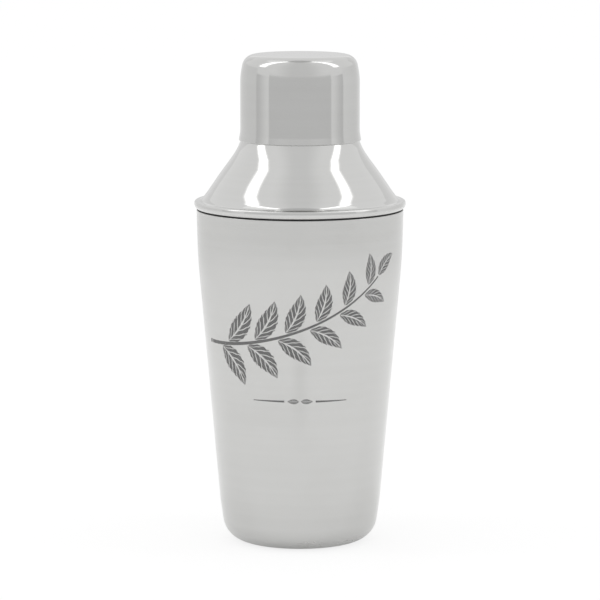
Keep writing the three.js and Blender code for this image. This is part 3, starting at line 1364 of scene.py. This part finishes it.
    def build(self, cup: bpy.types.Object) -> bpy.types.Object:
        """Draws the sprig on a cup.

        Args:
            cup: The tumbler's piece.

        Returns:
            The piece.
        """
        surface = bmesh.new()
        surface.from_mesh(cup.data)
        wall = BVHTree.FromBMesh(surface)
        mesh = bmesh.new()
        for layer in ("leaf", "wall"):
            mesh.loops.layers.uv.new(layer)
        for blade in self.blades():
            self.draw(mesh, blade, wall)
        surface.free()
        bmesh.ops.remove_doubles(mesh, verts=mesh.verts[:], dist=MERGE_DISTANCE)
        bmesh.ops.recalc_face_normals(mesh, faces=mesh.faces[:])
        bmesh.ops.solidify(mesh, geom=mesh.faces[:], thickness=self.depth)
        return place_piece("etched_sprig", mesh, Ride("tumbler_body", "satin_steel"))

    def dress(self, piece: bpy.types.Object) -> None:
        """Gives the sprig its etched finish."""
        piece.data.materials.append(self.finish.material())


class SoftEdge(Enum):
    """The edges that a card fades out at, with the name of the value that runs up to them."""

    SIDES = "across"
    TOP = "up"


@dataclass(frozen=True)
class Card:
    """A curved studio card that shows in the metal: a patch of a dome about the object.

    Attributes:
        name: Name of the card.
        azimuth: First and last azimuth in degrees, from the camera's side towards +X.
        elevation: Lowest and highest elevation in degrees.
        glow: Brightness at the first and at the last azimuth, where 1 is white.
        distance: Distance from the dome's centre.
        lights: Whether it lights the floor as well.
        soft: Edges that it fades out at, if any.
        fade: Share of its width or height that fades out, at each of those edges.
    """

    name: str
    azimuth: Pair
    elevation: Pair
    glow: Pair
    distance: float = 1.0
    lights: bool = False
    soft: SoftEdge | None = None
    fade: float = 0.0

    def mesh(self, steps: int) -> bmesh.types.BMesh:
        """Sweeps the card out of a point of the dome.

        Args:
            steps: Steps along each of its edges.

        Returns:
            The mesh, whose vertices carry how far across and up the card they lie.
        """
        mesh = bmesh.new()
        across, up = (mesh.verts.layers.float.new(edge.value) for edge in SoftEdge)
        low, high = (math.radians(angle) for angle in self.elevation)
        first, last = (math.radians(angle) for angle in self.azimuth)
        start = Vector((0.0, -math.cos(low), math.sin(low))) * self.distance
        bmesh.ops.create_vert(mesh, co=start)
        bmesh.ops.spin(mesh, geom=mesh.verts[:], cent=ORIGIN, axis=LEFT, angle=high - low, steps=steps)
        bmesh.ops.rotate(mesh, verts=mesh.verts[:], cent=ORIGIN, matrix=Matrix.Rotation(first, 3, "Z"))
        rib = [*mesh.verts, *mesh.edges]
        bmesh.ops.spin(mesh, geom=rib, cent=ORIGIN, axis=UP, angle=last - first, steps=steps)
        for corner in mesh.verts:
            azimuth = math.atan2(corner.co.x, -corner.co.y)
            offset = math.remainder(azimuth - (first + last) / 2, math.tau)
            corner[across] = offset / (last - first) + 1 / 2
            corner[up] = (math.asin(corner.co.z / self.distance) - low) / (high - low)
        return mesh

    def material(self) -> bpy.types.Material:
        """Builds the card's glow.

        Returns:
            The material, see-through where the card fades out.
        """
        graph, material = Graph.of_material(self.name)
        glow = self.glow[0]
        if self.glow[1] != glow:
            glow = graph.ramp(graph.attribute(SoftEdge.SIDES.value), RISE, self.glow)
        shader = graph.add("ShaderNodeEmission", {"Strength": glow}).outputs[0]
        if self.soft:
            run = graph.attribute(self.soft.value)
            fold = ("PINGPONG", run, 0.5) if self.soft is SoftEdge.SIDES else ("SUBTRACT", 1.0, run)
            cover = graph.ramp(graph.math(*fold), (0.0, self.fade))
            clear = graph.add("ShaderNodeBsdfTransparent").outputs[0]
            shader = graph.add("ShaderNodeMixShader", {0: cover, 1: clear, 2: shader}).outputs[0]
        graph.surface(shader)
        return material


@dataclass
class Studio:
    """White room, floor, cards and camera.

    Attributes:
        centre: Height of the centre of the cards' dome.
        daylight: Brightness of the room, where 1 is white.
        floor_half: Half the width of the floor.
        floor_steps: Steps along each edge of the floor.
        floor_seen: Colour of the floor to the camera.
        floor_white: Colour of the near floor, as metal mirrors it.
        floor_front: Colour of the far floor on the camera's side, painted shade darker than the near floor.
        floor_back: Colour of the far floor behind the object, painted shade a little lighter than its
            front.
        floor_painted_shadow: Colour of the near floor at the darkest point of a shadow painted on it in
            front.
        painted_shadow_place: Middle of that painted shadow.
        painted_shadow_reach: Half width and half depth of that painted shadow.
        floor_fade: Distances between which the near floor turns into the far one.
        floor_turn: Depths between which the far floor's front turns into its back.
        floor_glow: Share of the floor that glows by itself, to light and to the camera.
        card_steps: Steps along each edge of a card.
        lens: Focal length in millimetres.
        sensor: Width of the sensor in millimetres.
        camera_distance: Distance between the camera and the point that it looks at.
        camera_elevation: Angle that it looks down by.
        aim: Height of the point that it looks at.
        cards: The cards around the object.
    """

    centre: float = 0.135
    daylight: float = 1.0
    floor_half: float = 12.0
    floor_steps: int = 8
    floor_seen: Colour = WHITE
    floor_white: Colour = (0.97, 0.97, 0.97, 1.0)
    # Painted shade: the far floor, as metal mirrors it, is darker than the near floor.
    floor_front: Colour = (0.86, 0.86, 0.86, 1.0)
    floor_back: Colour = (0.88, 0.88, 0.88, 1.0)
    # Painted shadow: a darker spot on the near floor in front of the object.
    floor_painted_shadow: Colour = (0.885, 0.885, 0.885, 1.0)
    painted_shadow_place: tuple[float, float, float] = (0.0, -0.235, 0.0)
    painted_shadow_reach: tuple[float, float, float] = (0.05, 0.12, 1.0)
    floor_fade: Pair = (0.3, 0.75)
    floor_turn: Pair = (-0.35, 0.05)
    floor_glow: Pair = (0.25, 0.8)
    card_steps: int = 24
    lens: float = 218.7
    sensor: float = 36.0
    camera_distance: float = 1.3
    camera_elevation: float = math.radians(8.02)
    aim: float = 86.36 * MM
    cards: tuple[Card, ...] = (
        Card("front_low", (-62, 62), (-7.6, 14.5), (0.77, 0.77), 0.98, False, SoftEdge.TOP, 0.23),
        Card("front_high", (-12, 12), (9, 77), (0.86, 0.86)),
        Card("front_high_right", (12, 56), (9, 77), (0.86, 1.0)),
        Card("front_high_left", (-56, -12), (9, 77), (1.0, 0.86)),
        Card("right_low", (62, 91), (-7.6, 10), (0.97, 0.74)),
        Card("left_low", (-92.5, -62), (-7.6, 10), (0.74, 0.97)),
        Card("right_strip", (70.5, 91.5), (21, 77), (2.6, 2.6), 2.0, True, SoftEdge.SIDES, 0.38),
        Card("left_strip", (-96.5, -72.5), (21, 77), (2.6, 2.6), 2.0, True, SoftEdge.SIDES, 0.33),
        Card("back_low", (165, 195), (-7.6, 14), (0.78, 0.78)),
        Card("right_far", (91, 137), (-7.6, 13), (0.95, 0.87)),
        Card("left_far", (-145, -92.5), (-7.6, 13), (0.89, 0.89)),
        Card("right_back", (137, 165), (-7.6, 30), (0.87, 0.9)),
        Card("left_back", (-165, -145), (-7.6, 30), (0.9, 0.87)),
        Card("right_high", (88, 140), (54, 77), (1.3, 1.1)),
        Card("left_high", (-140, -93), (54, 77), (1.1, 1.3)),
        Card("ceiling", (-180, 180), (78, 90), (0.64, 0.64)),
    )

    def build(self) -> None:
        """Sets up the room, the floor, the cards and the camera."""
        bpy.context.scene.view_settings.view_transform = "Standard"
        self.light_room()
        self.lay_floor()
        for card in self.cards:
            self.hang(card)
        self.set_camera()

    def light_room(self) -> None:
        """Fills the room with even white light."""
        world = bpy.data.worlds.new("white_room")
        world.use_nodes = True
        world.node_tree.nodes.clear()
        graph = Graph(world.node_tree)
        light = graph.add("ShaderNodeBackground", {"Color": WHITE, "Strength": self.daylight})
        graph.add("ShaderNodeOutputWorld", {"Surface": light.outputs[0]})
        bpy.context.scene.world = world

    @staticmethod
    def stage_piece(name: str, mesh: bmesh.types.BMesh, material: bpy.types.Material) -> bpy.types.Object:
        """Makes a piece of the stage.

        Args:
            name: Name of the piece.
            mesh: Its mesh, which is freed.
            material: Its material.

        Returns:
            The piece.
        """
        piece = linked_object(name, mesh)
        piece.data.shade_smooth()
        piece.data.materials.append(material)
        return piece

    def mirrored_floor(self, graph: Graph) -> Socket:
        """The floor's colour as metal mirrors it.

        Args:
            graph: Graph of the floor's material.

        Returns:
            The colour, with a painted shadow at a spot in front and painted shade far out.
        """
        place = graph.add("ShaderNodeTexCoord").outputs["Object"]
        # Painted shadow: a soft darker spot on the floor in front of the object, as metal mirrors it.
        spot = graph.add(
            "ShaderNodeMapping",
            {"Vector": place, "Location": self.painted_shadow_place, "Scale": self.painted_shadow_reach},
            vector_type="TEXTURE",
        )
        painted_shadow_mask = graph.ramp(graph.length(spot.outputs[0]), RISE, FALL)
        near = graph.blend(painted_shadow_mask, self.floor_white, self.floor_painted_shadow)
        # Painted shade: the far floor turns darker, more on the camera's side than behind.
        behind = graph.ramp(graph.parts(place)[1], self.floor_turn)
        pale = graph.blend(behind, self.floor_front, self.floor_back)
        far = graph.ramp(graph.length(place), self.floor_fade)
        return graph.blend(far, near, pale)

    def lay_floor(self) -> None:
        """Lays the floor, which is white to the camera, glows a little and takes the object's shadow."""
        graph, material = Graph.of_material("pale_floor")
        path = graph.add("ShaderNodeLightPath").outputs
        colour = graph.blend(path["Is Camera Ray"], self.mirrored_floor(graph), self.floor_seen)
        mirrored = graph.math("MAXIMUM", path["Is Glossy Ray"], path["Is Transmission Ray"])
        seen = graph.math("MAXIMUM", path["Is Camera Ray"], mirrored)
        glow = graph.add("ShaderNodeEmission", {"Color": colour, "Strength": seen})
        sheet = graph.add("ShaderNodeBsdfDiffuse", {"Color": colour})
        share = graph.ramp(path["Is Camera Ray"], RISE, self.floor_glow)
        mixed = graph.add("ShaderNodeMixShader", {0: share, 1: sheet.outputs[0], 2: glow.outputs[0]})
        graph.surface(mixed.outputs[0])
        mesh = bmesh.new()
        steps = self.floor_steps
        bmesh.ops.create_grid(mesh, x_segments=steps, y_segments=steps, size=self.floor_half)
        self.stage_piece("studio_floor", mesh, material)

    def hang(self, card: Card) -> None:
        """Hangs a card where only reflections, and the floor if it lights that, show it.

        Args:
            card: The card.
        """
        mesh = card.mesh(self.card_steps)
        bmesh.ops.translate(mesh, verts=mesh.verts[:], vec=(0.0, 0.0, self.centre))
        piece = self.stage_piece(card.name, mesh, card.material())
        piece.visible_camera = False
        piece.visible_shadow = False
        piece.visible_diffuse = card.lights

    def set_camera(self) -> None:
        """Sets the camera at the photograph's distance and angle."""
        data = bpy.data.cameras.new("photo_camera")
        data.sensor_width = self.sensor
        data.lens = self.lens
        camera = bpy.data.objects.new("photo_camera", data)
        level = self.camera_distance * math.cos(self.camera_elevation)
        rise = self.camera_distance * math.sin(self.camera_elevation)
        camera.location = (0.0, -level, self.aim + rise)
        camera.rotation_euler = (math.pi / 2 - self.camera_elevation, 0.0, 0.0)
        bpy.context.scene.collection.objects.link(camera)
        bpy.context.scene.camera = camera


def main() -> None:
    """Builds and dresses the shaker's pieces, then the studio around them."""
    logging.basicConfig(level=logging.INFO, format="%(name)s: %(message)s")
    effects = EffectGroups()
    tumbler = Tumbler()
    cup = tumbler.build()
    tumbler.dress(cup, effects)
    sprig = EtchedSprig()
    mark = sprig.build(cup)
    sprig.dress(mark)
    pieces = [cup, mark]
    for part in (StrainerTop(), MouthSeal(), Cap()):
        piece = part.build()
        part.dress(piece, effects)
        pieces.append(piece)
    for piece in pieces:
        log.info("%s: %d faces", piece.name, len(piece.data.polygons))
    Studio().build()


if __name__ == "__main__":
    main()
